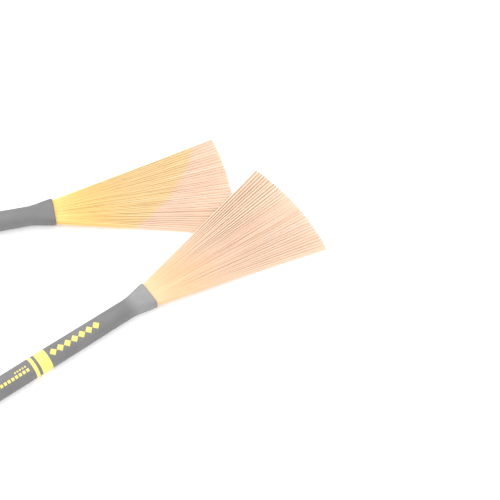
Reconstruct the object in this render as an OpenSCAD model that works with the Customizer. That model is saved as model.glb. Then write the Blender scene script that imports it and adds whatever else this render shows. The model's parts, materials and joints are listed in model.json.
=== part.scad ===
// Pair of fan-shaped drum brushes, the second one lying across the fan of the first.
// A brush is drawn along +X with its butt end at x = 0 and its long axis on the X axis,
// then it is turned and moved to where it lies. Both lie on the plane z = 0.

/* [Handle] */
// Diameter of the straight part of the grip, that of a 5B drumstick
grip_d = 15.24; // [14.8:0.02:16.4]
// Diameter of the neck, in front of the taper
neck_d = 14.5; // [13.5:0.1:14.7]
// Length of the handle, from butt to mouth
handle_l = 202; // [190:1:240]
// Where the taper starts, from the butt
taper_start = 118; // [116:1:130]
// Where the taper ends, from the butt
taper_end = 172; // [140:1:172]
// Diameter of the core inside the grip
core_d = 9; // [7:0.5:10]
// Length of the rounded cap on the butt
cap_l = 6; // [5:0.5:8]

/* [Mouth] */
// Width of the flattened mouth
mouth_w = 20.6; // [20.4:0.1:24]
// Thickness of the mouth
mouth_h = 9.8; // [9.6:0.1:12]
// Radius of the mouth's long edges
mouth_edge_r = 3.4; // [2:0.1:3.8]
// Length of the flare behind the mouth
flare_l = 20; // [18:0.5:24]
// Depth of the pocket that holds the filament roots
pocket_l = 18; // [14:0.5:18]

/* [Bands] */
// Front edge of the wide band, from the butt
band_front = 114.6; // [90:0.2:115]
// Width of the wide band
wide_band_w = 8.4; // [5:0.1:10]
// Width of the narrow band
narrow_band_w = 2.7; // [1.5:0.1:4]
// Gap between the two bands
band_gap = 2.3; // [1.5:0.1:4]
// Depth that a band is let into the grip
band_depth = 0.25; // [0.15:0.05:0.5]

/* [Fan] */
// Length of the fan in front of the mouth
fan_l = 131; // [110:1:140]
// Full spread between the outermost filaments, in degrees
fan_spread = 28.6; // [25:0.1:28.6]
// How far behind the mouth the filaments would meet in a point
apex_back = 35.8; // [34:0.1:35.8]
// Diameter of one filament
filament_d = 0.55; // [0.3:0.05:0.55]
// Filaments in the widest layers; the layers between them have one fewer
per_layer = 29; // [15:1:29]
// Distance between layers at the root
layer_root = 0.8; // [0.6:0.05:0.8]
// Distance between layers at the tips
layer_tip = 0.33; // [0.3:0.01:0.4]

/* [Arrangement] */
// Mouth of brush A
mouth_a = [0, 63.5];
// Direction of brush A, in degrees
yaw_a = 11.6; // [9:0.1:14]
// How far the fan of brush A sinks towards the surface, in degrees
droop_a = 2.7; // [2.6:0.1:2.7]
// Mouth of brush B
mouth_b = [71.4, -5.9];
// Direction of brush B, in degrees
yaw_b = 35.9; // [34:0.1:38]
// How far the fan of brush B sinks, in degrees; it lies over the other fan
droop_b = 1.3; // [1:0.1:1.3]

/* [Hidden] */

layers = 6;
glue_gap = 0.05;         // room for glue around the core and the root block
cut = 1;                 // how far a cutting shape runs past what it cuts
spigot_l = 7;            // length of the cap's plug inside the grip
cap_round_r = 4.5;       // radius of the cap's rounded edge
strip_l = 5;             // length of the fused strip at the root of a layer
strip_back = 4;          // distance from the mouth to the front of the strips
strip_hold = 1;          // how deep a filament is fused into its strip
side_wall = 0.35;        // room between the outermost filaments' middles and the pocket's sides
flare_ease = 160;        // degrees of a cosine wave that shape the flare
flare_rings = 8;
flare_sides = 48;
crown = 3;               // how quickly the section turns from its flat to its edge
seat = 0.03;             // how far the flare's first section lies inside the neck
overlap = 0.2;           // how far two joined solids run into each other

grip_r = grip_d / 2;
neck_r = neck_d / 2;
apex_x = handle_l - apex_back;
pocket_x = handle_l - pocket_l;
strip_x = handle_l - strip_back - strip_l;
band_rear = band_front - wide_band_w;
narrow_front = band_rear - band_gap;
fan_half = fan_spread / 2;
pocket_h = layers * layer_root + 2 * glue_gap;

grey = [0.36, 0.36, 0.38];
dark = [0.16, 0.16, 0.17];
pale_yellow = [0.96, 0.91, 0.42];
amber = [0.98, 0.80, 0.40];
peach = [0.97, 0.78, 0.60];
wood = [0.76, 0.60, 0.40];
resin = [0.85, 0.72, 0.45];

// Share of the flare's widening reached at t, from 0 at the neck to 1 at the mouth
function eased(t) = (1 - cos(flare_ease * t)) / (1 - cos(flare_ease));
function between(a, b, t) = a + (b - a) * eased(t);

// Half the width that the fan has at x, where the outermost filaments run
function fan_reach(x) = (x - apex_x) * tan(fan_half);

// Height of a layer's middle above the fan's own middle, for a given spacing
function layer_z(i, spacing) = (i - (layers - 1) / 2) * spacing;

module place_a() {
    translate([mouth_a.x, mouth_a.y, grip_r]) rotate([0, 0, yaw_a]) translate([-handle_l, 0, 0])
        children();
}

module place_b() {
    translate([mouth_b.x, mouth_b.y, grip_r]) rotate([0, 0, yaw_b]) translate([-handle_l, 0, 0])
        children();
}

// A round piece on the X axis, from x0 to x1
module round_bar(x0, x1, r) {
    translate([x0, 0, 0]) rotate([0, 90, 0]) cylinder(h = x1 - x0, r = r, $fn = 96);
}

// A ring on the X axis
module band_ring(x0, x1) {
    difference() {
        round_bar(x0, x1, grip_r);
        round_bar(x0 - cut, x1 + cut, grip_r - band_depth);
    }
}

// A straight rod from point p to point q
module rod(p, q, d) {
    v = q - p;
    translate(p) rotate([0, acos(v.z / norm(v)), atan2(v.y, v.x)])
        cylinder(h = norm(v), d = d, $fn = 16);
}

// A flat wedge that follows the spread of the fan, from x0 to x1
module fan_wedge(x0, x1, margin, height) {
    y0 = fan_reach(x0) + margin;
    y1 = fan_reach(x1) + margin;
    translate([0, 0, -height / 2]) linear_extrude(height = height)
        polygon([[x0, -y0], [x1, -y1], [x1, y1], [x0, y0]]);
}

// One point of the flare's skin: t runs from neck to mouth, turn goes round the section.
// The section is a circle at the neck and a rounded bar with a slight crown at the mouth.
function flare_point(t, turn) =
    let (edge_r = between(neck_r - seat, mouth_edge_r, t),
         dy = between(neck_r - seat, mouth_w / 2, t) - edge_r,
         dz = between(neck_r - seat, mouth_h / 2, t) - edge_r,
         across = max(-1, min(1, crown * cos(turn))),
         upward = max(-1, min(1, crown * sin(turn))))
    [flare_l * (t - 1), dy * across + edge_r * cos(turn), dz * upward + edge_r * sin(turn)];

module flare() {
    n = flare_sides;
    skin = [for (k = [0 : flare_rings], j = [0 : n - 1]) flare_point(k / flare_rings, 360 * j / n)];
    lower = [for (k = [0 : flare_rings - 1], j = [0 : n - 1])
        [k * n + j, (k + 1) * n + j, k * n + (j + 1) % n]];
    upper = [for (k = [0 : flare_rings - 1], j = [0 : n - 1])
        [k * n + (j + 1) % n, (k + 1) * n + j, (k + 1) * n + (j + 1) % n]];
    back_end = [for (j = [0 : n - 1]) j];
    front_end = [for (j = [n - 1 : -1 : 0]) flare_rings * n + j];
    translate([handle_l, 0, 0]) polyhedron(skin, concat(lower, upper, [back_end, front_end]));
}

module grip_body() {
    neck_end = handle_l - flare_l + overlap;
    rotate([90, 0, 90]) rotate_extrude($fn = 96)
        polygon([[0, cap_l], [grip_r, cap_l], [grip_r, taper_start], [neck_r, taper_end],
                 [neck_r, neck_end], [0, neck_end]]);
    flare();
}

module grip() {
    color(grey) difference() {
        grip_body();
        round_bar(cap_l - cut, pocket_x, core_d / 2);
        fan_wedge(pocket_x - overlap, handle_l + cut, side_wall, pocket_h);
        difference() {
            round_bar(band_rear, band_front, grip_d);
            round_bar(band_rear - cut, band_front + cut, grip_r - band_depth);
        }
        difference() {
            round_bar(narrow_front - narrow_band_w, narrow_front, grip_d);
            round_bar(narrow_front - narrow_band_w - cut, narrow_front + cut, grip_r - band_depth);
        }
    }
}

module core_rod() {
    color(wood) round_bar(cap_l + spigot_l, pocket_x - overlap, core_d / 2 - glue_gap);
}

module butt_cap() {
    color(dark) {
        rotate([90, 0, 90]) rotate_extrude($fn = 96) difference() {
            square([grip_r, cap_l]);
            translate([grip_r - cap_round_r, 0]) difference() {
                square(cap_round_r);
                translate([0, cap_round_r]) circle(r = cap_round_r, $fn = 96);
            }
        }
        round_bar(cap_l - overlap, cap_l + spigot_l, core_d / 2 - glue_gap);
    }
}

module wide_band() {
    color(pale_yellow) band_ring(band_rear, band_front);
}

module narrow_band() {
    color(pale_yellow) band_ring(narrow_front - narrow_band_w, narrow_front);
}

module root_block() {
    color(resin) fan_wedge(pocket_x, strip_x, side_wall - glue_gap, layers * layer_root);
}

// One layer of filaments, fused side by side into a strip at the root
module filament_layer(i, droop) {
    count = i % 2 == 0 ? per_layer : per_layer - 1;
    step = fan_spread / (per_layer - 1);
    root_x = handle_l - strip_back - strip_hold;
    tip_r = apex_back + fan_l;
    root_z = layer_z(i, layer_root);
    tip_z = layer_z(i, layer_tip) - fan_l * tan(droop);
    color(i % 2 == 0 ? amber : peach) {
        translate([0, 0, root_z])
            fan_wedge(strip_x, strip_x + strip_l, side_wall - glue_gap, layer_root);
        for (k = [0 : count - 1]) {
            turn = (k - (count - 1) / 2) * step;
            rod([root_x, (root_x - apex_x) * tan(turn), root_z],
                [apex_x + tip_r * cos(turn), tip_r * sin(turn), tip_z], filament_d);
        }
    }
}

place_a() grip();  // grip_a
place_a() core_rod();  // core_rod_a
place_a() butt_cap();  // butt_cap_a
place_a() wide_band();  // wide_band_a
place_a() narrow_band();  // narrow_band_a
place_a() root_block();  // root_block_a
place_a() filament_layer(0, droop_a);  // layer_1_a
place_a() filament_layer(1, droop_a);  // layer_2_a
place_a() filament_layer(2, droop_a);  // layer_3_a
place_a() filament_layer(3, droop_a);  // layer_4_a
place_a() filament_layer(4, droop_a);  // layer_5_a
place_a() filament_layer(5, droop_a);  // layer_6_a

place_b() grip();  // grip_b
place_b() core_rod();  // core_rod_b
place_b() butt_cap();  // butt_cap_b
place_b() wide_band();  // wide_band_b
place_b() narrow_band();  // narrow_band_b
place_b() root_block();  // root_block_b
place_b() filament_layer(0, droop_b);  // layer_1_b
place_b() filament_layer(1, droop_b);  // layer_2_b
place_b() filament_layer(2, droop_b);  // layer_3_b
place_b() filament_layer(3, droop_b);  // layer_4_b
place_b() filament_layer(4, droop_b);  // layer_5_b
place_b() filament_layer(5, droop_b);  // layer_6_b
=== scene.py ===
import json
import math

import bpy
from bpy.props import (
    FloatProperty, FloatVectorProperty, IntProperty, PointerProperty,
)
from bpy.types import Operator, Panel, PropertyGroup
from mathutils import Euler, Matrix, Vector


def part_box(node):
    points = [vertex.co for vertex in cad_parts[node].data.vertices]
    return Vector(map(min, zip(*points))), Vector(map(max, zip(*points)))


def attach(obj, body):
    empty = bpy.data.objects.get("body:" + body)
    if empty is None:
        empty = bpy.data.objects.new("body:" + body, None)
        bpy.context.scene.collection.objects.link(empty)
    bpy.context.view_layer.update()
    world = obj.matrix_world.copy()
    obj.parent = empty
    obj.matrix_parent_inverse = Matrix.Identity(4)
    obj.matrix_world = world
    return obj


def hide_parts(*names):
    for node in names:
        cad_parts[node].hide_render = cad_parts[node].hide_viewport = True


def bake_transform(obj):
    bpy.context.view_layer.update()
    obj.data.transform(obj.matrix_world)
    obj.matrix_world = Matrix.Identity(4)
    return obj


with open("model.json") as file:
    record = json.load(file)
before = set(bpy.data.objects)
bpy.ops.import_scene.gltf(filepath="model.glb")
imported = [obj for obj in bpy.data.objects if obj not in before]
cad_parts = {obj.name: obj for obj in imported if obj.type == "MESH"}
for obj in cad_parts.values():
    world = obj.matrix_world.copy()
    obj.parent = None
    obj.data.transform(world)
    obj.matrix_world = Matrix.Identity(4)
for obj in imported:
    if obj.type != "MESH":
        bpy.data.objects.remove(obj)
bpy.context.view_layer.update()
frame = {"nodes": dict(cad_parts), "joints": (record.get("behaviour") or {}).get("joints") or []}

bl_info = {
    "name": "Drum Brush Pair",
    "version": (1, 0, 0),
    "blender": (4, 5, 0),
    "location": "3D View > Sidebar > Drum Brushes",
    "description": "Builds the visible pieces of two fan-shaped drum brushes around their CAD frame",
    "category": "Object",
}

BRUSHES = ("a", "b")
LAYERS = 6
FADE_LANES = (0.05, 0.45)       # lanes where the middle of a fan passes into its left or right side
BENDING = 0.035                 # a length along the filaments, in metres, from the mouth; the point it gives in the fans step is not used


# ---------------------------------------------------------------- where the brushes lie

class Lie:
    """Where one brush lies: a brush is drawn along +X from its butt, then turned and moved here."""

    def __init__(self, key, handle_length):
        joint = next(j for j in frame["joints"] if j["name"] == f"fan_{key}_bend")
        across = joint["axis"]
        self.mouth = Vector(joint["pos_m"])
        self.yaw = math.atan2(-across[0], across[1])
        self.butt = self.mouth - self.ahead() * handle_length
        self.matrix = Matrix.Translation(self.butt) @ Matrix.Rotation(self.yaw, 4, "Z")
        tips = [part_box(f"layer_{i}_{key}")[0].z for i in (1, LAYERS)]
        self.tip_bottom = sum(tips) / len(tips)

    def ahead(self):
        """The direction from the butt to the mouth."""
        return Vector((math.cos(self.yaw), math.sin(self.yaw), 0))


# ---------------------------------------------------------------- settings

def length(name, default, description, **more):
    return FloatProperty(name=name, default=default, description=description, min=0,
                         unit="LENGTH", subtype="DISTANCE", precision=5, **more)


def tint(name, default, description):
    return FloatVectorProperty(name=name, default=default, description=description,
                               subtype="COLOR", size=3, min=0, max=1)


class HandleSettings(PropertyGroup):
    """Sizes of one handle, measured from its butt end."""
    handle_length: length("Handle length", 0.202, "From the butt to the mouth")
    grip_diameter: length("Grip diameter", 0.01524, "Diameter of the straight part")
    neck_diameter: length("Neck diameter", 0.0145, "Diameter in front of the taper")
    taper_start: length("Taper start", 0.118, "Where the grip starts to narrow")
    taper_end: length("Taper end", 0.172, "Where the grip stops narrowing")
    flare_length: length("Flare length", 0.020, "Length of the widening behind the mouth")
    flare_ease: FloatProperty(name="Flare ease", default=math.radians(160), subtype="ANGLE",
                              description="Stretch of a cosine wave that shapes the flare")
    mouth_width: length("Mouth width", 0.0206, "Width of the flattened mouth")
    mouth_height: length("Mouth height", 0.0098, "Thickness of the flattened mouth")
    mouth_edge: length("Mouth edge radius", 0.0034, "Radius of the mouth's long edges")
    lip_radius: length("Lip radius", 0.0008, "Rounding of the mouth's front edge")
    slot_height: length("Slot height", 0.0049, "Height of the slot for the filaments")
    slot_corner: length("Slot corner radius", 0.0004, "Rounding of the slot's corners")
    pocket_depth: length("Pocket depth", 0.018, "How deep the slot goes")
    pocket_width: length("Pocket width", 0.0098, "Width of the slot at its bottom")
    bore_diameter: length("Bore diameter", 0.009, "Hole for the core rod")
    cap_length: length("Cap length", 0.006, "Length of the cap on the butt")
    cap_round: length("Cap rounding", 0.0045, "Radius of the cap's rounded edge")
    plug_length: length("Plug length", 0.007, "Length of the cap's plug inside the grip")
    seam: length("Seam", 0.00025, "Rounding of the edges where the cap meets the grip")


class BandSettings(PropertyGroup):
    """Places of the two yellow bands, and of the printed marks beside them."""
    band_front: length("Band front", 0.1146, "Front edge of the wide band, from the butt")
    wide_band: length("Wide band", 0.0084, "Width of the wide band")
    narrow_band: length("Narrow band", 0.0027, "Width of the narrow band")
    band_gap: length("Band gap", 0.0023, "Gap between the bands")
    band_depth: length("Band depth", 0.00025, "How deep the bands are let into the grip")
    ink: length("Ink thickness", 0.00004, "How far the printed marks stand proud")
    mark_roll: FloatProperty(name="Mark roll", default=math.radians(25), subtype="ANGLE",
                             description="How far round from the top the large marks sit")


class FanSettings(PropertyGroup):
    """Sizes of one fan of filaments."""
    fan_length: length("Fan length", 0.131, "From the mouth to the tips")
    half_spread: FloatProperty(name="Half spread", default=math.radians(14.3), subtype="ANGLE",
                               description="Angle between the middle and the outermost filament")
    apex_back: length("Apex", 0.0358, "How far behind the mouth the filaments would meet")
    root_depth: length("Root depth", 0.0085, "How deep the filaments start inside the mouth")
    root_width: length("Root width", 0.0145, "Width of the bundle where the filaments start")
    filament_diameter: length("Filament diameter", 0.00055, "Diameter of one filament")
    root_spacing: length("Root spacing", 0.0008, "Distance between layers at the root")
    tip_spacing: length("Tip spacing", 0.00033, "Distance between layers at the tips")
    per_layer: IntProperty(name="Filaments per layer", default=35, min=5, max=60,
                           description="How many filaments lie side by side in one layer")
    stray: length("Stray", 0.0003, "How far a tip strays sideways from its even place")
    clump: length("Clump", 0.0003, "How far neighbouring tips gather into strands")
    bow: length("Bow", 0.0003, "How far a filament bows between root and tip")
    trim: length("Trim", 0.0007, "How uneven the cut of the tips is")
    splay: length("Splay", 0.0012, "How far the outermost tips curve outwards")
    seed: IntProperty(name="Seed", default=7, description="Seed of the filaments' scatter")


class FinishSettings(PropertyGroup):
    """Colours of the finishes."""
    grip: tint("Grip", (0.18, 0.18, 0.18), "Soft-touch skin of the handles")
    # painted shade: the mouth of A is a little darker than the grip, to offset the light on its
    # flattened top
    mouth_a: tint("Mouth A", (0.168, 0.168, 0.168), "Skin of handle A at the mouth")
    mouth_b: tint("Mouth B", (0.26, 0.26, 0.26), "Skin of handle B at the mouth, rubbed paler")
    cap: tint("Cap", (0.125, 0.125, 0.125), "Moulded cap on the butt")
    ink: tint("Ink", (0.90, 0.73, 0.21), "Printed bands and marks")
    wood: tint("Wood", (0.58, 0.40, 0.22), "Core rod inside the grip")
    resin: tint("Resin", (0.62, 0.45, 0.18), "Cast block behind the filaments")
    root_a: tint("Root A", (0.97, 0.67, 0.24), "Filaments of brush A at the mouth")
    root_b: tint("Root B", (0.97, 0.66, 0.40), "Filaments of brush B at the mouth")
    amber: tint("Amber", (0.88, 0.655, 0.32), "Filaments of brush A along their middle")
    peach: tint("Peach", (0.88, 0.64, 0.483), "Filaments towards their tips")
    # painted highlight: the tint of the top layer where a fan opens
    painted_highlight: tint("Cream", (1.0, 0.82, 0.63), "Palest filaments")
    # painted shade: the tint of a deeper layer where a fan opens, in place of the shadow in the gaps
    # between the upper filaments
    shade: tint("Shade", (0.47, 0.31, 0.20), "Deepest filaments, between the pale ones")


class StageSettings(PropertyGroup):
    """Camera and light."""
    aim: FloatVectorProperty(name="Aim", default=(0.143, 0.0356, 0), size=3, subtype="XYZ",
                             unit="LENGTH", description="Point that the camera looks at")
    elevation: FloatProperty(name="Elevation", default=math.radians(60), subtype="ANGLE",
                             description="Height of the camera above the horizon")
    distance: length("Distance", 1.6, "From the camera to its aim")
    lens: FloatProperty(name="Lens", default=158.4, subtype="DISTANCE_CAMERA", unit="CAMERA",
                        description="Focal length")
    key_power: FloatProperty(name="Key power", default=9, unit="POWER",
                             description="Power of the large light over the fans")
    fill_power: FloatProperty(name="Fill power", default=9, unit="POWER",
                              description="Power of the light beside the camera")
    zenith: FloatProperty(name="Zenith", default=1.35, description="Brightness overhead")
    horizon: FloatProperty(name="Horizon", default=0.45, description="Brightness at the horizon")


class DrumBrushSettings(PropertyGroup):
    """All settings of the pair."""
    handle: PointerProperty(type=HandleSettings, name="Handle")
    bands: PointerProperty(type=BandSettings, name="Bands")
    fan: PointerProperty(type=FanSettings, name="Fan")
    finish: PointerProperty(type=FinishSettings, name="Finish")
    stage: PointerProperty(type=StageSettings, name="Stage")


# ---------------------------------------------------------------- node trees as expressions

class Wire:
    """An output of a node. Arithmetic on it adds Math nodes."""

    def __init__(self, net, socket):
        self.net, self.socket = net, socket

    def maths(self, operation, *values, clamp=False):
        return self.net.add("ShaderNodeMath", {"operation": operation, "use_clamp": clamp},
                            dict(enumerate((self,) + values)))

    def __add__(self, other):
        return self.maths("ADD", other)

    __radd__ = __add__

    def __sub__(self, other):
        return self.maths("SUBTRACT", other)

    def __rsub__(self, other):
        return self.net.add("ShaderNodeMath", {"operation": "SUBTRACT"}, {0: other, 1: self})

    def __mul__(self, other):
        return self.maths("MULTIPLY", other)

    __rmul__ = __mul__

    def __truediv__(self, other):
        return self.maths("DIVIDE", other)

    def sine(self):
        return self.maths("SINE")

    def cosine(self):
        return self.maths("COSINE")

    def floor(self):
        return self.maths("FLOOR")

    def modulo(self, other):
        return self.maths("FLOORED_MODULO", other)

    def step_between(self, low, high):
        """Rises smoothly from 0 at low to 1 at high."""
        return self.net.add("ShaderNodeMapRange", {"interpolation_type": "SMOOTHSTEP"},
                            {"Value": self, "From Min": low, "From Max": high})


class Net:
    """A node tree that nodes are added to, each by its type, settings and inputs."""

    def __init__(self, tree):
        self.tree = tree

    def add(self, kind, settings=None, inputs=None, out=0):
        node = self.tree.nodes.new(kind)
        for name, value in (settings or {}).items():
            setattr(node, name, value)
        for name, value in (inputs or {}).items():
            if isinstance(value, Wire):
                self.tree.links.new(value.socket, node.inputs[name])
            else:
                node.inputs[name].default_value = value
        return Wire(self, node.outputs[out])

    def blend(self, share, first, second):
        """Between two values."""
        return self.add("ShaderNodeMix", {}, {0: share, 2: first, 3: second})

    def blend_tints(self, share, first, second, how="MIX"):
        """Between two colours, given as wires or as three numbers."""
        pair = [c if isinstance(c, Wire) else (*c, 1) for c in (first, second)]
        return self.add("ShaderNodeMix", {"data_type": "RGBA", "blend_type": how},
                        {0: share, 6: pair[0], 7: pair[1]}, out=2)

    def split(self, vector):
        """The three parts of a vector."""
        node = self.tree.nodes.new("ShaderNodeSeparateXYZ")
        self.tree.links.new(vector.socket, node.inputs[0])
        return [Wire(self, s) for s in node.outputs]

    def join(self, x, y, z):
        return self.add("ShaderNodeCombineXYZ", {}, {0: x, 1: y, 2: z})


class Finish(Net):
    """A material with one Principled shader."""

    def __init__(self, name, **constants):
        material = bpy.data.materials.new(name)
        material.use_nodes = True
        super().__init__(material.node_tree)
        self.material = material
        self.shader = material.node_tree.nodes["Principled BSDF"]
        for socket, value in constants.items():
            self.shader.inputs[socket.replace("_", " ")].default_value = value

    def place(self, lie):
        """Object coordinates turned so that X runs along a brush from its butt."""
        here = self.add("ShaderNodeTexCoord", out=3)
        return self.add("ShaderNodeMapping", {"vector_type": "TEXTURE"},
                        {"Vector": here, "Location": lie.butt, "Rotation": (0, 0, lie.yaw)})

    def noise(self, where, scale, detail=2.0, stretch=None):
        """Cloudy noise; stretch makes it longer along X, Y or Z."""
        if stretch:
            where = self.add("ShaderNodeVectorMath", {"operation": "MULTIPLY"},
                             {0: where, 1: stretch})
        return self.add("ShaderNodeTexNoise", {}, {"Vector": where, "Scale": scale,
                                                   "Detail": detail})

    def attribute(self, name):
        return self.add("ShaderNodeAttribute", {"attribute_name": name}, out=2)

    def bump(self, height, distance, strength=1.0):
        return self.add("ShaderNodeBump", {}, {"Height": height, "Distance": distance,
                                               "Strength": strength})

    def feed(self, **wires):
        """Links wires to the shader's sockets."""
        for socket, wire in wires.items():
            self.tree.links.new(wire.socket, self.shader.inputs[socket.replace("_", " ")])
        return self.material


# ---------------------------------------------------------------- finishes

def soft_touch(name, colour, mouth_colour, mouth_x, lie):
    """Matt rubbery skin: a fine pebble, faint clouds of handling, and its own tone at the mouth, which
    on handle A is painted shade.
    """
    f = Finish(name, Specular_IOR_Level=0.32)
    where = f.place(lie)
    # towards the mouth the skin passes to its own tone: painted shade on A, a paler tint on B
    flare = f.split(where)[0].step_between(mouth_x - 0.022, mouth_x - 0.012)
    colour = f.blend_tints(flare, colour, mouth_colour)
    clouds = f.noise(where, 60, 3)
    drawn = f.noise(where, 900, 2, stretch=(0.12, 1, 1))
    pebble = f.noise(where, 5200, 2)
    tone = 0.93 + clouds.step_between(0.3, 0.75) * 0.13 + drawn.step_between(0.45, 0.75) * 0.05
    shade = f.blend_tints(1.0, colour, f.join(tone, tone, tone), "MULTIPLY")
    rough = 0.50 + clouds * 0.12 + pebble * 0.08
    return f.feed(Base_Color=shade, Roughness=rough,
                  Normal=f.bump(pebble + drawn * 0.5, 0.00003, 0.6))


def printed_ink(name, colour, lie):
    """Pad-printed ink: nearly even, a little thinner in specks."""
    f = Finish(name, Specular_IOR_Level=0.35)
    where = f.place(lie)
    clouds = f.noise(where, 140, 3)
    specks = f.noise(where, 2600, 1).step_between(0.70, 0.78)
    shade = f.blend_tints(clouds, colour, (colour[0], colour[1] * 0.95, colour[2] * 0.82))
    shade = f.blend_tints(specks * 0.30, shade, [c * 0.72 for c in colour])
    return f.feed(Base_Color=shade, Roughness=0.42 + clouds * 0.16,
                  Normal=f.bump(clouds, 0.00002, 0.5))


def moulded(name, colour, lie):
    """Spark-eroded plastic with a fine, even grain."""
    f = Finish(name, Specular_IOR_Level=0.4)
    where = f.place(lie)
    grain = f.noise(where, 3400, 2)
    wear = f.noise(where, 220, 4).step_between(0.62, 0.8)
    shade = f.blend_tints(wear * 0.5, colour, [min(1, c * 1.35) for c in colour])
    return f.feed(Base_Color=shade, Roughness=0.46 + grain * 0.14 - wear * 0.08,
                  Normal=f.bump(grain, 0.00004, 0.6))


def turned_wood(name, colour, lie):
    """Hardwood with long grain and darker pores."""
    f = Finish(name)
    where = f.place(lie)
    grain = f.noise(where, 420, 4, stretch=(0.06, 1, 1))
    pores = f.noise(where, 2600, 2, stretch=(0.05, 1, 1)).step_between(0.6, 0.72)
    shade = f.blend_tints(grain.step_between(0.3, 0.7), [c * 0.72 for c in colour],
                          [min(1, c * 1.18) for c in colour])
    shade = f.blend_tints(pores * 0.6, shade, [c * 0.4 for c in colour])
    return f.feed(Base_Color=shade, Roughness=0.55 + grain * 0.2,
                  Normal=f.bump(grain - pores * 0.5, 0.00008, 0.6))


def cast_resin(name, colour, lie):
    """Amber casting resin with small bubbles."""
    f = Finish(name, Coat_Roughness=0.1)
    where = f.place(lie)
    clouds = f.noise(where, 300, 3)
    bubbles = f.add("ShaderNodeTexVoronoi", {}, {"Vector": where, "Scale": 1400})
    holes = 1 - bubbles.step_between(0.12, 0.3)
    shade = f.blend_tints(clouds, [c * 0.8 for c in colour], [min(1, c * 1.2) for c in colour])
    return f.feed(Base_Color=f.blend_tints(holes * 0.5, shade, (0.86, 0.74, 0.5)),
                  Roughness=0.22 + clouds * 0.2, Normal=f.bump(clouds - holes, 0.00006, 0.6))


def drawn_nylon(name, finish, look):
    """Nylon filaments. Their tint changes along their length; where the fan is busy, the top
    layer is paler, a painted highlight, and one layer below it darker, a painted shade in place of
    the shadow in the gaps; each filament has its own tone."""
    f = Finish(name, Specular_IOR_Level=0.45)
    along, tone, lane, busy, height = (
        f.attribute(n) for n in ("along", "tone", "lane", "busy", "height"))
    shade = f.blend_tints(along.step_between(*look["first_fade"]), look["root"], look["middle"])
    shade = f.blend_tints((along - lane * look["tilt"]).step_between(*look["last_fade"]),
                          shade, finish.peach)
    spread = busy * along.step_between(*look["lines"])
    rank = height + tone * 0.12
    # painted highlight: where the fan is busy, the top layer is tinted paler
    shade = f.blend_tints(rank.step_between(0.85, 1.05) * spread * 0.6, shade, finish.painted_highlight)
    # painted shade: where the fan is busy, a layer below the top one is tinted darker, in place of the
    # shadow in the gaps
    painted_shade_share = 1 - (rank - 0.65).maths("ABSOLUTE").step_between(0.08, 0.20)
    shade = f.blend_tints(painted_shade_share * spread * 0.72, shade, finish.shade)
    here = f.add("ShaderNodeTexCoord", out=3)
    drawn = f.noise(here, 1500, 2)
    return f.feed(Base_Color=shade, Roughness=0.40 + drawn * 0.18 + tone * 0.08,
                  Normal=f.bump(drawn, 0.00002, 0.4))


# ---------------------------------------------------------------- meshes

def new_piece(name, mesh, material=None):
    """An object at the origin, with the material if one is given."""
    piece = bpy.data.objects.new(name, mesh)
    bpy.context.scene.collection.objects.link(piece)
    if material:
        mesh.materials.clear()
        mesh.materials.append(material)
    return piece


def ring_skin(name, rings, matrix, closed=False, ends=None):
    """A mesh through rings of points, drawn along +X and then placed by matrix.
    A closed skin joins the last ring to the first; otherwise each end is filled with a fan."""
    sides = len(rings[0])
    points = [p for ring in rings for p in ring]
    count = len(rings)
    faces = []
    for k in range(count if closed else count - 1):
        a, b = k * sides, (k + 1) % count * sides
        faces += [(a + j, b + j, b + (j + 1) % sides, a + (j + 1) % sides) for j in range(sides)]
    if not closed:
        for ring, middle, turn in ((0, ends[0], 1), (count - 1, ends[1], -1)):
            points.append(middle)
            hub, base = len(points) - 1, ring * sides
            faces += [(base + j, base + (j + 1) % sides, hub)[::turn] for j in range(sides)]
    mesh = bpy.data.meshes.new(name)
    mesh.from_pydata([matrix @ Vector(p) for p in points], [], faces)
    mesh.update()
    return mesh


def smooth(piece, angle):
    """Shades a piece smooth, apart from edges sharper than angle."""
    piece.data.shade_smooth()
    piece.data.set_sharp_from_angle(angle=angle)


def section(x, half_y, half_z, edge, sides, turn_rate=3.0):
    """A ring at x: a bar 2 half_y wide and 2 half_z high with edges rounded by edge.
    A bar as wide and high as its edges is a circle. turn_rate is how quickly it passes the flats."""
    ring = []
    for j in range(sides):
        a = math.tau * j / sides
        c, s = math.cos(a), math.sin(a)
        ring.append((x,
                     (half_y - edge) * max(-1, min(1, turn_rate * c)) + edge * c,
                     (half_z - edge) * max(-1, min(1, turn_rate * s)) + edge * s))
    return ring


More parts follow.
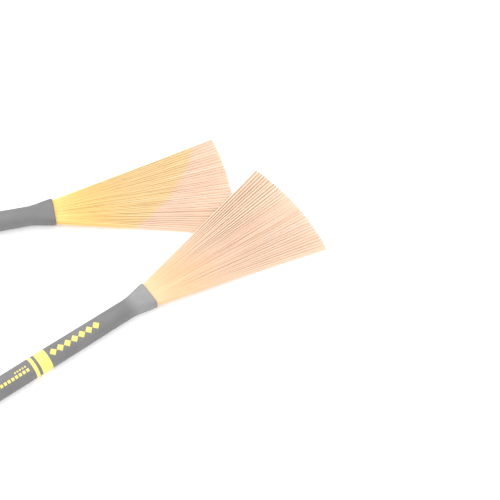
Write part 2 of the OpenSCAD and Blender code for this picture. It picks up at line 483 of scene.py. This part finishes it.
def grip_rings(h, b, sides=128):
    """Rings round the grip's outside, over the lip, into the slot, and back through the bore."""
    radius, neck = h.grip_diameter / 2, h.neck_diameter / 2
    narrow_front = b.band_front - b.wide_band - b.band_gap
    grooves = [(narrow_front - b.narrow_band, narrow_front), (b.band_front - b.wide_band, b.band_front)]

    def round_at(x, r):
        return section(x, r, r, r, sides)

    rings = [round_at(h.cap_length, radius - h.seam),
             round_at(h.cap_length + h.seam * 0.3, radius - h.seam * 0.3),
             round_at(h.cap_length + h.seam, radius)]
    x = h.cap_length + 0.008
    while x < grooves[0][0] - 0.004:
        rings.append(round_at(x, radius))
        x += 0.010
    for start, stop in grooves:
        rings += [round_at(start, radius), round_at(start, radius - b.band_depth),
                  round_at(stop, radius - b.band_depth), round_at(stop, radius)]
    steps = 12
    for k in range(steps + 1):
        t = k / steps
        rings.append(round_at(h.taper_start + (h.taper_end - h.taper_start) * t,
                              radius + (neck - radius) * t))
    neck_end = h.handle_length - h.flare_length
    rings.append(round_at((h.taper_end + neck_end) / 2, neck))

    def eased(t):
        return (1 - math.cos(h.flare_ease * t)) / (1 - math.cos(h.flare_ease))

    def flare_at(t, inset=0.0, x=None):
        share = eased(t)
        half_y = neck + (h.mouth_width / 2 - neck) * share - inset
        half_z = neck + (h.mouth_height / 2 - neck) * share - inset
        edge = neck + (h.mouth_edge - neck) * share - inset
        return section(neck_end + h.flare_length * t if x is None else x,
                       half_y, half_z, edge, sides)

    steps = 28
    lip_share = 1 - h.lip_radius / h.flare_length
    rings += [flare_at(lip_share * k / steps) for k in range(steps + 1)]
    for k in range(1, 7):
        a = math.radians(15 * k)
        rings.append(flare_at(lip_share, h.lip_radius * (1 - math.cos(a)),
                              h.handle_length - h.lip_radius * (1 - math.sin(a))))
    mouth_slot = h.mouth_width / 2 - h.lip_radius - 0.00003
    for k in range(9):
        t = k / 8
        half_y = mouth_slot + (h.pocket_width / 2 - mouth_slot) * t
        rings.append(section(h.handle_length - h.pocket_depth * t, half_y,
                             h.slot_height / 2, h.slot_corner, sides))
    pocket = h.handle_length - h.pocket_depth
    bore = h.bore_diameter / 2
    rings += [round_at(pocket - 0.0002, bore), round_at((pocket + h.cap_length) / 2, bore),
              round_at(h.cap_length, bore)]
    return rings


def cap_rings(h, sides=96):
    """Rings of the butt cap: a dished end, a rounded edge, a seam groove and a plug inside the grip."""
    radius = h.grip_diameter / 2
    plug = h.bore_diameter / 2 - 0.00005
    dish, dish_depth = radius - h.cap_round - 0.0004, 0.0004
    profile = [(dish_depth, dish * 0.35), (dish_depth, dish * 0.82), (dish_depth * 0.6, dish * 0.94),
               (0.00006, dish), (0, dish + 0.0003)]
    for k in range(10):
        a = math.radians(10 * k)
        profile.append((h.cap_round * (1 - math.cos(a)),
                        radius - h.cap_round * (1 - math.sin(a))))
    seam_x, plug_x = h.cap_length - h.seam * 0.5, h.cap_length + h.plug_length
    profile += [(h.cap_length - h.seam * 1.6, radius),
                (h.cap_length - h.seam * 0.9, radius - h.seam * 0.3),
                (seam_x, radius - h.seam), (seam_x, plug),
                (plug_x - 0.0006, plug), (plug_x, plug - 0.0006)]
    rings = [section(x, r, r, r, sides) for x, r in profile]
    return rings, ((dish_depth, 0, 0), (plug_x, 0, 0))


# ---------------------------------------------------------------- geometry node trees

class Grower(Net):
    """A geometry node tree with named inputs, which ends in Realize Instances and Set Material."""

    KINDS = {float: "NodeSocketFloat", int: "NodeSocketInt", tuple: "NodeSocketVector",
             bpy.types.Material: "NodeSocketMaterial"}

    def __init__(self, name, values):
        super().__init__(bpy.data.node_groups.new(name, "GeometryNodeTree"))
        face = self.tree.interface
        self.values = values
        self.keys = {}
        for label, value in values.items():
            kind = next(k for t, k in self.KINDS.items() if isinstance(value, t))
            self.keys[label] = face.new_socket(label, in_out="INPUT", socket_type=kind).identifier
        face.new_socket("Geometry", in_out="OUTPUT", socket_type="NodeSocketGeometry")
        self.source = self.tree.nodes.new("NodeGroupInput")

    def given(self, label):
        return Wire(self, self.source.outputs[label])

    def chance(self, low, high, seed):
        """A random number for each point, by its index."""
        return self.add("FunctionNodeRandomValue", {"data_type": "FLOAT"},
                        {2: low, 3: high, 8: self.given("Seed") + seed}, out=1)

    def keep(self, geometry, name, value):
        """Stores a value on the points under a name."""
        return self.add("GeometryNodeStoreNamedAttribute", {"data_type": "FLOAT", "domain": "POINT"},
                        {"Geometry": geometry, "Name": name, "Value": value})

    def kept(self, name):
        return self.add("GeometryNodeInputNamedAttribute", {"data_type": "FLOAT"}, {"Name": name})

    def place(self, geometry):
        """Turns and moves the geometry to where the brush lies."""
        turn = self.join(0.0, 0.0, self.given("Yaw"))
        spin = self.add("FunctionNodeEulerToRotation", {}, {0: turn})
        return self.add("GeometryNodeTransform", {},
                        {"Geometry": geometry, "Translation": self.given("Butt"), "Rotation": spin})

    def grow(self, geometry, name):
        """Ends the tree, and returns its result as a plain piece."""
        whole = self.add("GeometryNodeRealizeInstances", {}, {"Geometry": geometry})
        done = self.add("GeometryNodeSetMaterial", {},
                        {"Geometry": whole, "Material": self.given("Material")})
        self.tree.links.new(done.socket, self.tree.nodes.new("NodeGroupOutput").inputs[0])
        carrier = new_piece(name + "_carrier", bpy.data.meshes.new(name + "_carrier"))
        modifier = carrier.modifiers.new("Grow", "NODES")
        modifier.node_group = self.tree
        for label, key in self.keys.items():
            modifier[key] = self.values[label]
        bpy.context.view_layer.update()
        evaluated = carrier.evaluated_get(bpy.context.evaluated_depsgraph_get())
        mesh = bpy.data.meshes.new_from_object(evaluated)
        mesh.name = name
        bpy.data.objects.remove(carrier)
        if not mesh.polygons:
            raise RuntimeError(f"{name} has no faces")
        return new_piece(name, mesh)


def grow_fan(name, lie, h, s, material, seed, look):
    """One fan: filaments from inside the mouth to an arc of tips, in staggered layers.
    look["busy"] says how strongly the painted highlight on the top layer and the painted shade on a
    deeper layer show at the right, in the middle and at the left;
    look["cut"] says how much longer the fan is than its setting, and how much its cut is skewed."""
    mouth_x = float(h.handle_length)
    radius = s.filament_diameter / 2
    g = Grower(name, {
        "Per layer": int(s.per_layer), "Layers": LAYERS, "Seed": int(seed),
        "Root X": mouth_x - s.root_depth, "Root half width": s.root_width / 2 - radius,
        "Root spacing": float(s.root_spacing), "Tip spacing": float(s.tip_spacing),
        "Apex X": mouth_x - s.apex_back, "Reach": s.apex_back + s.fan_length + look["cut"][0],
        "Skew": float(look["cut"][1]), "Splay": float(s.splay),
        "Half spread": float(s.half_spread), "Tip Z": lie.tip_bottom + radius - lie.mouth.z,
        "Radius": radius, "Busy right": look["busy"][0], "Busy middle": look["busy"][1],
        "Busy left": look["busy"][2],
        "Stray": s.stray / (s.apex_back + s.fan_length),
        "Clump": s.clump / (s.apex_back + s.fan_length), "Bow": float(s.bow), "Trim": float(s.trim),
        "Butt": tuple(lie.butt), "Yaw": lie.yaw, "Material": material,
    })
    index = g.add("GeometryNodeInputIndex")
    layers, per_layer = g.given("Layers"), g.given("Per layer")
    level = index.modulo(layers)
    lane = ((index / layers).floor() + (level + 0.5) / layers) / per_layer * 2.0 - 1.0
    middle = g.given("Busy middle")
    # busy: how strongly the painted highlight and painted shade show, from the right of the fan to its
    # left
    busy = (middle + (g.given("Busy left") - middle) * lane.step_between(*FADE_LANES)
            + (g.given("Busy right") - middle) * (0.0 - lane).step_between(*FADE_LANES))
    points = g.add("GeometryNodePoints", {}, {0: layers * per_layer})
    # strands gather where a slow wave along the row pulls neighbouring tips together
    wave = g.add("ShaderNodeTexNoise", {"noise_dimensions": "2D"},
                 {"Vector": g.join(lane * 9.0, g.given("Seed") * 1.7, 0.0), "Scale": 1.0,
                  "Detail": 2.0})
    pull = (wave - 0.5) * 2.0 * g.given("Clump") / g.given("Half spread")
    loose = 1.0 - lane * lane
    busy = busy * (0.9 + (wave - 0.5) * 0.6)
    points = g.keep(points, "lane", lane)
    points = g.keep(points, "tip_lane", lane + pull * loose
                    + g.chance(-1.0, 1.0, 1) * loose * g.given("Stray") / g.given("Half spread"))
    points = g.keep(points, "root_lane", lane + g.chance(-0.25, 0.25, 2) / per_layer)
    points = g.keep(points, "level", level - (layers - 1.0) / 2.0)
    points = g.keep(points, "busy", busy)
    points = g.keep(points, "bow", g.chance(-1.0, 1.0, 3) * loose)
    points = g.keep(points, "lift", g.chance(-0.3, 0.3, 4))
    points = g.keep(points, "short", g.chance(0.0, 1.0, 5))
    points = g.keep(points, "tone", g.chance(0.0, 1.0, 6))
    points = g.keep(points, "height", level / (layers - 1.0))
    line = g.add("GeometryNodeResampleCurve", {},
                 {"Curve": g.add("GeometryNodeCurvePrimitiveLine"), "Count": 8})
    lines = g.add("GeometryNodeRealizeInstances", {}, {
        "Geometry": g.add("GeometryNodeInstanceOnPoints", {}, {"Points": points, "Instance": line})})
    along = g.add("GeometryNodeSplineParameter")
    angle = g.kept("tip_lane") * g.given("Half spread")
    reach = g.given("Reach") - g.kept("short") * g.given("Trim") - g.kept("lane") * g.given("Skew")
    tip_x = g.given("Apex X") + reach * angle.cosine()
    x = g.blend(along, g.given("Root X"), tip_x)
    arch = ((along * math.pi).sine() * g.kept("bow") * g.given("Bow")
            + along * along * along * g.kept("lane") * g.given("Splay"))
    y = g.blend(along, g.kept("root_lane") * g.given("Root half width"), reach * angle.sine()) + arch
    root_z = g.kept("level") * g.given("Root spacing")
    tip_z = g.given("Tip Z") + (g.kept("level") + g.kept("lift")) * g.given("Tip spacing")
    curves = g.add("GeometryNodeSetPosition", {},
                   {"Geometry": lines, "Position": g.join(x, y, g.blend(along, root_z, tip_z))})
    curves = g.keep(curves, "along", along)
    ring = g.add("GeometryNodeCurvePrimitiveCircle", {"mode": "RADIUS"},
                 {"Resolution": 6, "Radius": g.given("Radius")})
    tubes = g.add("GeometryNodeCurveToMesh", {},
                  {"Curve": curves, "Profile Curve": ring, "Fill Caps": True})
    fan = g.grow(g.place(tubes), name)
    smooth(fan, math.radians(60))
    return fan


def grow_marks(name, lie, h, s, material, count, start, pitch, size, turn, roll):
    """A row of printed marks wrapped round the grip: squares turned by turn, then stretched to size.
    start is the first mark's distance from the butt, and roll how far round from the top they sit."""
    stretch = 1 / (abs(math.cos(turn)) + abs(math.sin(turn)))
    radius, neck = h.grip_diameter / 2, h.neck_diameter / 2
    g = Grower(name, {
        "Count": int(count), "Start": float(start), "Pitch": float(pitch),
        "Turn": float(turn), "Size": (size[0] * stretch, size[1] * stretch, 1.0),
        "Roll": float(roll), "Grip radius": radius + s.ink, "Neck radius": neck + s.ink,
        "Taper start": float(h.taper_start), "Taper end": float(h.taper_end),
        "Butt": tuple(lie.butt), "Yaw": lie.yaw, "Material": material,
    })
    row = g.add("GeometryNodeMeshLine", {}, {
        "Count": g.given("Count"), "Start Location": g.join(g.given("Start"), 0.0, 0.0),
        "Offset": g.join(g.given("Pitch"), 0.0, 0.0)})
    sheet = g.add("GeometryNodeMeshGrid", {}, {"Size X": 1.0, "Size Y": 1.0,
                                               "Vertices X": 7, "Vertices Y": 7})
    spin = g.add("FunctionNodeEulerToRotation", {}, {0: g.join(0.0, 0.0, g.given("Turn"))})
    turned = g.add("GeometryNodeTransform", {}, {"Geometry": sheet, "Rotation": spin})
    mark = g.add("GeometryNodeTransform", {}, {"Geometry": turned, "Scale": g.given("Size")})
    flat = g.add("GeometryNodeRealizeInstances", {}, {
        "Geometry": g.add("GeometryNodeInstanceOnPoints", {}, {"Points": row, "Instance": mark})})
    x, across, _ = g.split(g.add("GeometryNodeInputPosition"))
    share = ((x - g.given("Taper start")) / (g.given("Taper end") - g.given("Taper start"))
             ).maths("ADD", 0.0, clamp=True)
    r = g.blend(share, g.given("Grip radius"), g.given("Neck radius"))
    angle = across / r - g.given("Roll")
    wrapped = g.add("GeometryNodeSetPosition", {},
                    {"Geometry": flat, "Position": g.join(x, angle.sine() * r, angle.cosine() * r)})
    marks = g.grow(g.place(wrapped), name)
    plate = marks.modifiers.new("Ink", "SOLIDIFY")
    plate.thickness, plate.offset = s.ink * 3, -1
    smooth(marks, math.radians(40))
    return marks


# ---------------------------------------------------------------- operators

def settings():
    return bpy.context.scene.drum_brushes


def lie_of(key):
    return Lie(key, settings().handle.handle_length)


class Builder(Operator):
    """Base of the operators: each builds its pieces once, or raises an error."""
    bl_options = {"REGISTER", "UNDO"}

    def execute(self, context):
        self.build(settings())
        return {"FINISHED"}


class DRUMBRUSH_OT_stage(Builder):
    """Makes the camera, the pale floor and the soft lights"""
    bl_idname = "drumbrush.stage"
    bl_label = "Stage"

    def build(self, s):
        scene, stage = bpy.context.scene, s.stage
        camera = bpy.data.objects.new("camera", bpy.data.cameras.new("camera"))
        scene.collection.objects.link(camera)
        aim = Vector(stage.aim)
        camera.location = aim + stage.distance * Vector(
            (0, -math.cos(stage.elevation), math.sin(stage.elevation)))
        camera.rotation_euler = Euler((math.pi / 2 - stage.elevation, 0, 0))
        camera.data.lens, camera.data.sensor_width = stage.lens, 36
        camera.data.clip_start, camera.data.clip_end = 0.05, 20
        scene.camera = camera

        half = 4.0
        mesh = bpy.data.meshes.new("floor")
        mesh.from_pydata([(x, y, -0.0001) for x, y in
                          ((-half, -half), (half, -half), (half, half), (-half, half))],
                         [], [(0, 1, 2, 3)])
        white = Finish("floor_paper", Specular_IOR_Level=0.0, Roughness=0.9,
                       Emission_Color=(1, 1, 1, 1), Emission_Strength=0.12)
        grain = white.noise(white.add("ShaderNodeTexCoord", out=3), 12, 2)
        white.feed(Base_Color=white.blend_tints(grain, (0.93, 0.93, 0.93), (0.95, 0.95, 0.95)))
        new_piece("floor", mesh, white.material)

        self.lamp("key_light", (-0.62, 0.55, 1.15), (0.03, 0.02, 0), 0.8, stage.key_power)
        self.lamp("fill_light", (0.15, -1.0, 1.5), (0.03, 0.02, 0), 1.2, stage.fill_power)
        world = bpy.data.worlds.new("soft_sky")
        world.use_nodes = True
        sky = Net(world.node_tree)
        height = sky.split(sky.add("ShaderNodeTexCoord"))[2]
        glow = sky.blend(height.step_between(-0.2, 1.0), stage.horizon, stage.zenith)
        world.node_tree.links.new(glow.socket, world.node_tree.nodes["Background"].inputs["Strength"])
        world.node_tree.nodes["Background"].inputs["Color"].default_value = (1, 1, 1, 1)
        scene.world = world
        scene.view_settings.view_transform = "Standard"
        scene.view_settings.look = "None"

    def lamp(self, name, place, aim, size, power):
        light = bpy.data.lights.new(name, "AREA")
        light.shape, light.size, light.energy = "DISK", size, power
        lamp = bpy.data.objects.new(name, light)
        bpy.context.scene.collection.objects.link(lamp)
        lamp.location = place
        lamp.rotation_mode = "QUATERNION"
        lamp.rotation_quaternion = (Vector(aim) - Vector(place)).to_track_quat("-Z", "Y")


class DRUMBRUSH_OT_grips(Builder):
    """Makes the two soft-touch grips, from the cap's seam to the slot in the mouth"""
    bl_idname = "drumbrush.grips"
    bl_label = "Grips"

    def build(self, s):
        for key in BRUSHES:
            lie = lie_of(key)
            mesh = ring_skin(f"grip_skin_{key}", grip_rings(s.handle, s.bands), lie.matrix,
                             closed=True)
            grip = new_piece(mesh.name, mesh, soft_touch(
                f"soft_touch_{key}", s.finish.grip, getattr(s.finish, f"mouth_{key}"),
                s.handle.handle_length, lie))
            smooth(grip, math.radians(38))
            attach(grip, f"handle_{key}")
            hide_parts(f"grip_{key}")


class DRUMBRUSH_OT_caps(Builder):
    """Makes the moulded caps on the butt ends"""
    bl_idname = "drumbrush.caps"
    bl_label = "Butt caps"

    def build(self, s):
        for key in BRUSHES:
            lie = lie_of(key)
            rings, ends = cap_rings(s.handle)
            mesh = ring_skin(f"butt_plug_{key}", rings, lie.matrix, ends=ends)
            cap = new_piece(mesh.name, mesh, moulded(f"moulded_{key}", s.finish.cap, lie))
            smooth(cap, math.radians(38))
            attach(cap, f"handle_{key}")
            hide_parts(f"butt_cap_{key}")


class DRUMBRUSH_OT_carried(Builder):
    """Gives the bands, the core rods and the root blocks their finishes"""
    bl_idname = "drumbrush.carried"
    bl_label = "Bands, cores and root blocks"

    def build(self, s):
        for key in BRUSHES:
            lie = lie_of(key)
            ink = printed_ink(f"band_ink_{key}", s.finish.ink, lie)
            for node, finish in (
                ("wide_band", ink), ("narrow_band", ink),
                ("core_rod", turned_wood(f"core_wood_{key}", s.finish.wood, lie)),
                ("root_block", cast_resin(f"root_resin_{key}", s.finish.resin, lie)),
            ):
                carried = frame["nodes"][f"{node}_{key}"]
                carried.data.materials.clear()
                carried.data.materials.append(finish)


class DRUMBRUSH_OT_marks(Builder):
    """Prints a row of lozenges in front of the bands and two rows of small marks behind them"""
    bl_idname = "drumbrush.marks"
    bl_label = "Printed marks"

    def build(self, s):
        for key in BRUSHES:
            lie = lie_of(key)
            ink = printed_ink(f"mark_ink_{key}", s.finish.ink, lie)
            roll = s.bands.mark_roll
            rows = {
                "lozenges": {"count": 7, "start": 0.1193, "pitch": 0.00600,
                             "size": (0.0058, 0.0060), "turn": math.pi / 4, "roll": roll * 0.38},
                "small_dots": {"count": 5, "start": 0.0884, "pitch": 0.0021,
                               "size": (0.0016, 0.0018), "turn": math.pi / 4, "roll": roll * -0.1},
                "small_dashes": {"count": 12, "start": 0.0630, "pitch": 0.0031,
                                 "size": (0.0021, 0.0023), "turn": 0.0, "roll": roll * 0.85},
            }
            for name, row in rows.items():
                marks = grow_marks(f"{name}_{key}", lie, s.handle, s.bands, ink, **row)
                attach(marks, f"handle_{key}")


class DRUMBRUSH_OT_fans(Builder):
    """Grows the two fans of filaments"""
    bl_idname = "drumbrush.fans"
    bl_label = "Fans"

    def build(self, s):
        # the fades and the lines of painted highlight and painted shade run from the mouth (0) to the
        # tips (1); busy and cut as in grow_fan
        looks = {
            "a": {"root": s.finish.root_a, "middle": s.finish.amber, "first_fade": (0.12, 0.50),
                  "last_fade": (0.655, 0.71), "tilt": 0.20, "lines": (0.30, 0.75),
                  "busy": (0.50, 0.36, 0.50), "cut": (0.0, 0.0)},
            "b": {"root": s.finish.root_b, "middle": s.finish.peach, "first_fade": (0.10, 0.75),
                  "last_fade": (0.30, 0.60), "tilt": 0.0, "lines": (0.14, 0.50),
                  "busy": (0.75, 0.22, 1.30), "cut": (-0.0003, 0.0010)},
        }
        for number, key in enumerate(BRUSHES):
            lie = lie_of(key)
            look = looks[key]
            nylon = drawn_nylon(f"drawn_nylon_{key}", s.finish, look)
            fan = grow_fan(f"filaments_{key}", lie, s.handle, s.fan, nylon, s.fan.seed + number,
                           look)
            bend = lie.mouth + lie.ahead() * BENDING
            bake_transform(fan)
            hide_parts(*[f"layer_{i}_{key}" for i in range(1, LAYERS + 1)])


STEPS = ("stage", "grips", "caps", "carried", "marks", "fans")


class DRUMBRUSH_PT_panel(Panel):
    """Lists the settings and the steps that build the pair"""
    bl_idname = "DRUMBRUSH_PT_panel"
    bl_label = "Drum Brushes"
    bl_space_type = "VIEW_3D"
    bl_region_type = "UI"
    bl_category = "Drum Brushes"

    def draw(self, context):
        for step in STEPS:
            self.layout.operator(f"drumbrush.{step}")
        for group in ("handle", "bands", "fan", "finish", "stage"):
            part = getattr(context.scene.drum_brushes, group)
            box = self.layout.box()
            box.label(text=group.capitalize())
            for name in part.__annotations__:
                box.prop(part, name)


CLASSES = (
    HandleSettings, BandSettings, FanSettings, FinishSettings, StageSettings, DrumBrushSettings,
    DRUMBRUSH_OT_stage, DRUMBRUSH_OT_grips, DRUMBRUSH_OT_caps, DRUMBRUSH_OT_carried,
    DRUMBRUSH_OT_marks, DRUMBRUSH_OT_fans, DRUMBRUSH_PT_panel,
)


def register():
    for cls in CLASSES:
        bpy.utils.register_class(cls)
    bpy.types.Scene.drum_brushes = PointerProperty(type=DrumBrushSettings, name="Drum brushes")


def unregister():
    del bpy.types.Scene.drum_brushes
    for cls in reversed(CLASSES):
        bpy.utils.unregister_class(cls)


def main():
    """Builds the stage and every piece."""
    register()
    for step in STEPS:
        getattr(bpy.ops.drumbrush, step)()


if __name__ == "__main__":
    main()
